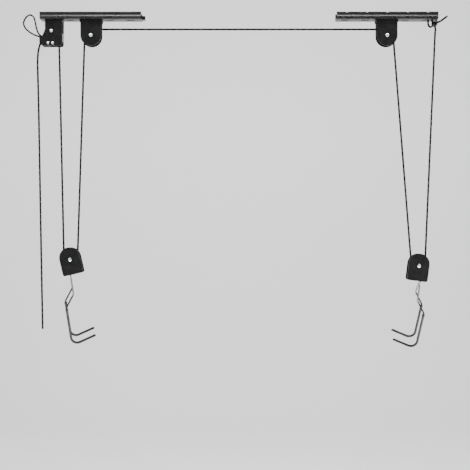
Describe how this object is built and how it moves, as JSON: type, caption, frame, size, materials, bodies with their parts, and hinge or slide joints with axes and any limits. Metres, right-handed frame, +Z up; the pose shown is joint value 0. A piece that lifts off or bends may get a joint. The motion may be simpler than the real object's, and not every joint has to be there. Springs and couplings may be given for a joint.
{
  "type": "ceiling pulley hoist",
  "caption": "Ceiling mounted rope hoist: slotted channel rails, pulley blocks, a cam rope lock and hanging hook blocks with coated wire hooks for lifting a bicycle.",
  "frame": {"origin": "point of the ceiling plane midway between the two rails, on their common centreline", "axes": "+X along the rails from the lock end to the tied end, +Y to the back, +Z up into the ceiling"},
  "size_m": [1.0716, 0.1153, 0.847],
  "materials": {
    "black_steel": "gloss black powder coat",
    "nylon": "moulded black nylon",
    "zinc": "bright zinc plate",
    "vinyl": "dipped black vinyl",
    "rope": "braided black cord with red and white tracers"
  },
  "bodies": {
    "rack": {"axle_left": "zinc", "axle_lock": "zinc", "axle_right": "zinc", "cam_pin": "zinc", "cam_spacer": "nylon", "cam_spring": "zinc", "housing_left": "black_steel", "housing_lock": "black_steel", "housing_right": "black_steel", "lock_pad": "nylon", "rail_left": "black_steel", "rail_right": "black_steel", "rivet_left_a": "zinc", "rivet_left_b": "zinc", "rivet_lock_a": "zinc", "rivet_lock_b": "zinc", "rivet_right_a": "zinc", "rivet_right_b": "zinc", "rope_fall_1": "rope", "rope_fall_2": "rope", "rope_fall_3": "rope", "rope_fall_4": "rope", "rope_over_lock": "rope", "rope_span": "rope", "rope_tie": "rope", "stop_pin": "zinc", "washer_left_back": "zinc", "washer_left_front": "zinc", "washer_lock_back": "zinc", "washer_lock_front": "zinc", "washer_right_back": "zinc", "washer_right_front": "zinc"},
    "lift_left": {"rope_bight_left": "rope"},
    "lift_right": {"rope_bight_right": "rope"},
    "turn_hook_left": {"sheave_hook_left": "nylon"},
    "turn_hook_right": {"sheave_hook_right": "nylon"},
    "turn_left": {"sheave_left": "nylon"},
    "turn_right": {"sheave_right": "nylon"},
    "turn_lock": {"sheave_lock": "nylon"},
    "block_left": {"housing_hook_left": "black_steel", "axle_hook_left": "zinc", "washer_hook_left_front": "zinc", "washer_hook_left_back": "zinc"},
    "block_right": {"housing_hook_right": "black_steel", "axle_hook_right": "zinc", "washer_hook_right_front": "zinc", "washer_hook_right_back": "zinc"},
    "hook_left": {"wire_left": "zinc", "coating_left_front": "vinyl", "coating_left_back": "vinyl"},
    "hook_right": {"wire_right": "zinc", "coating_right_front": "vinyl", "coating_right_back": "vinyl"},
    "cam": {"cam": "black_steel", "release_loop": "rope"},
    "tail": {"rope_tail": "rope"}
  },
  "joints": [
    {"name": "lift_left", "type": "slide", "parent": "rack", "child": "lift_left", "axis": [0, 0, 1], "range_m": [-0.11, 0.36], "deforming": ["rope_fall_3", "rope_fall_4"]},
    {"name": "lift_right", "type": "slide", "parent": "rack", "child": "lift_right", "axis": [0, 0, 1], "range_m": [-0.11, 0.36], "deforming": ["rope_fall_1", "rope_fall_2"]},
    {"name": "tail_feed", "type": "slide", "parent": "rack", "child": "tail", "axis": [0, 0, 1], "range_m": [-1.44, 0.44], "deforming": ["rope_tail"]},
    {"name": "turn_hook_left", "type": "hinge", "parent": "lift_left", "child": "turn_hook_left", "pos_m": [-0.4236, 0, -0.6205], "axis": [0, 1, 0], "continuous": true},
    {"name": "turn_hook_right", "type": "hinge", "parent": "lift_right", "child": "turn_hook_right", "pos_m": [0.4514, 0, -0.6363], "axis": [0, 1, 0], "continuous": true},
    {"name": "turn_left", "type": "hinge", "parent": "rack", "child": "turn_left", "pos_m": [-0.3715, 0, -0.058], "axis": [0, 1, 0], "continuous": true},
    {"name": "turn_right", "type": "hinge", "parent": "rack", "child": "turn_right", "pos_m": [0.3715, 0, -0.058], "axis": [0, 1, 0], "continuous": true},
    {"name": "turn_lock", "type": "hinge", "parent": "rack", "child": "turn_lock", "pos_m": [-0.4703, 0, -0.047], "axis": [0, 1, 0], "continuous": true},
    {"name": "swing_block_left", "type": "hinge", "parent": "lift_left", "child": "block_left", "pos_m": [-0.4236, 0, -0.6205], "axis": [0, 1, 0], "range_deg": [-25, 15]},
    {"name": "swing_block_right", "type": "hinge", "parent": "lift_right", "child": "block_right", "pos_m": [0.4514, 0, -0.6363], "axis": [0, 1, 0], "range_deg": [-25, 25]},
    {"name": "swing_hook_left", "type": "hinge", "parent": "block_left", "child": "hook_left", "pos_m": [-0.42383, 0, -0.66083], "axis": [0, 1, 0], "range_deg": [-18, 8]},
    {"name": "swing_hook_right", "type": "hinge", "parent": "block_right", "child": "hook_right", "pos_m": [0.4557, 0, -0.67641], "axis": [0, 1, 0], "range_deg": [-18, 18]},
    {"name": "cam_release", "type": "hinge", "parent": "rack", "child": "cam", "pos_m": [-0.4786, 0, -0.0774], "axis": [0, -1, 0], "range_deg": [0, 12], "stiffness_Nm_per_rad": 0.05, "springref_deg": -20.05}
  ],
  "couplings": [
    {"joint": "lift_right", "follows": "lift_left", "ratio": 1},
    {"joint": "tail_feed", "follows": "lift_left", "ratio": -4},
    {"joint": "turn_hook_right", "follows": "lift_left", "rad_per_m": 58.824},
    {"joint": "turn_right", "follows": "lift_left", "rad_per_m": -117.65},
    {"joint": "turn_left", "follows": "lift_left", "rad_per_m": -117.65},
    {"joint": "turn_hook_left", "follows": "lift_left", "rad_per_m": 176.47},
    {"joint": "turn_lock", "follows": "lift_left", "rad_per_m": -235.29}
  ]
}
